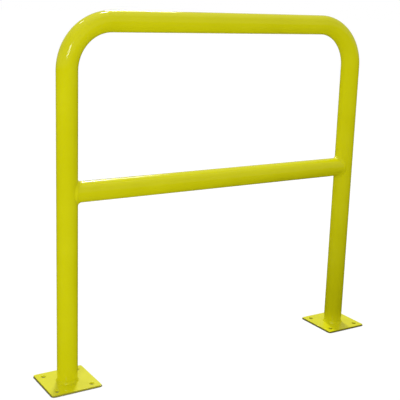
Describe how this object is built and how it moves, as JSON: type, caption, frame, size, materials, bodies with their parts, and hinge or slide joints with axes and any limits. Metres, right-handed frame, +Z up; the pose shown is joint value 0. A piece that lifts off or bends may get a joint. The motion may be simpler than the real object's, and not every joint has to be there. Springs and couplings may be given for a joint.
{
  "type": "steel safety railing",
  "caption": "Painted steel pipe safety railing: a hoop bent from pipe with a coped mid rail, welded to drilled base plates that bolt to the floor.",
  "frame": {"origin": "on the floor, midway between the two legs", "axes": "+X along the rails to the right leg, +Z up, -Y towards the viewer"},
  "size_m": [1.159, 0.1524, 1.0668],
  "materials": {
    "pipe_paint": "gloss",
    "plate_paint": "gloss",
    "weld_paint": "gloss"
  },
  "bodies": {
    "root": {"hoop": "pipe_paint", "mid_rail": "pipe_paint", "left_base_plate": "plate_paint", "right_base_plate": "plate_paint", "left_foot_weld": "weld_paint", "right_foot_weld": "weld_paint", "left_mid_rail_weld": "weld_paint", "right_mid_rail_weld": "weld_paint"}
  },
  "joints": []
}
